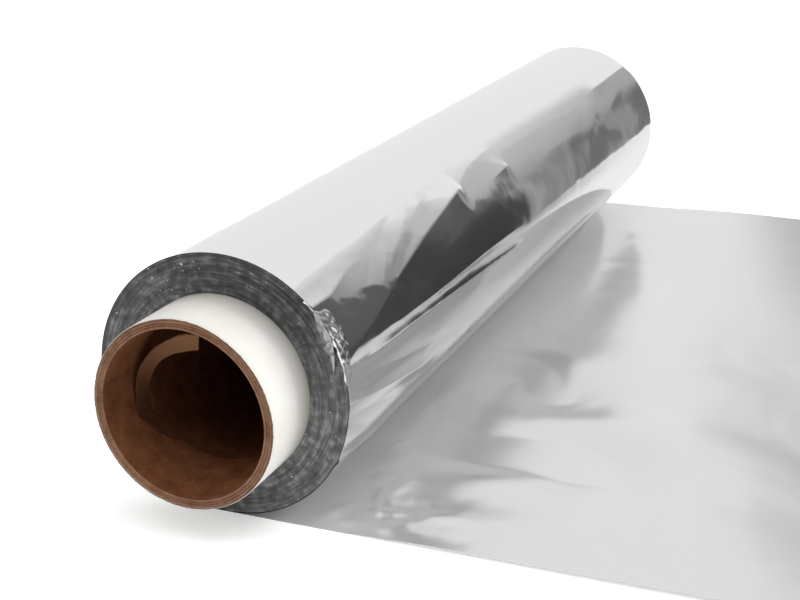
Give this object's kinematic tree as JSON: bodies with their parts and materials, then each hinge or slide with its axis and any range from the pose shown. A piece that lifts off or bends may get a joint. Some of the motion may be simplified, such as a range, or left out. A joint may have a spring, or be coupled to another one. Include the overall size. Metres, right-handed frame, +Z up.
{
  "type": "aluminium foil roll",
  "caption": "Kitchen foil wound on a long paper core that stands out at both ends, lying down with a length of foil drawn out flat beside it.",
  "frame": {"origin": "on the core's axis at the middle of the foil's width", "axes": "+Y along the core, away from the mouth with the loosened ply; +Z up from the table; +X towards the cut end of the free sheet"},
  "size_m": [0.1819, 0.336, 0.0636],
  "materials": {
    "foil": "rolled bright foil, soft mirror with creases",
    "white_paper": "uncoated white paper",
    "kraft_board": "raw kraft board, cut rim",
    "kraft_ply": "raw kraft paper"
  },
  "bodies": {
    "root": {"foil_web": "foil", "core_white_wrap": "white_paper", "core_tube": "kraft_board", "core_inner_ply": "kraft_ply"}
  },
  "joints": []
}
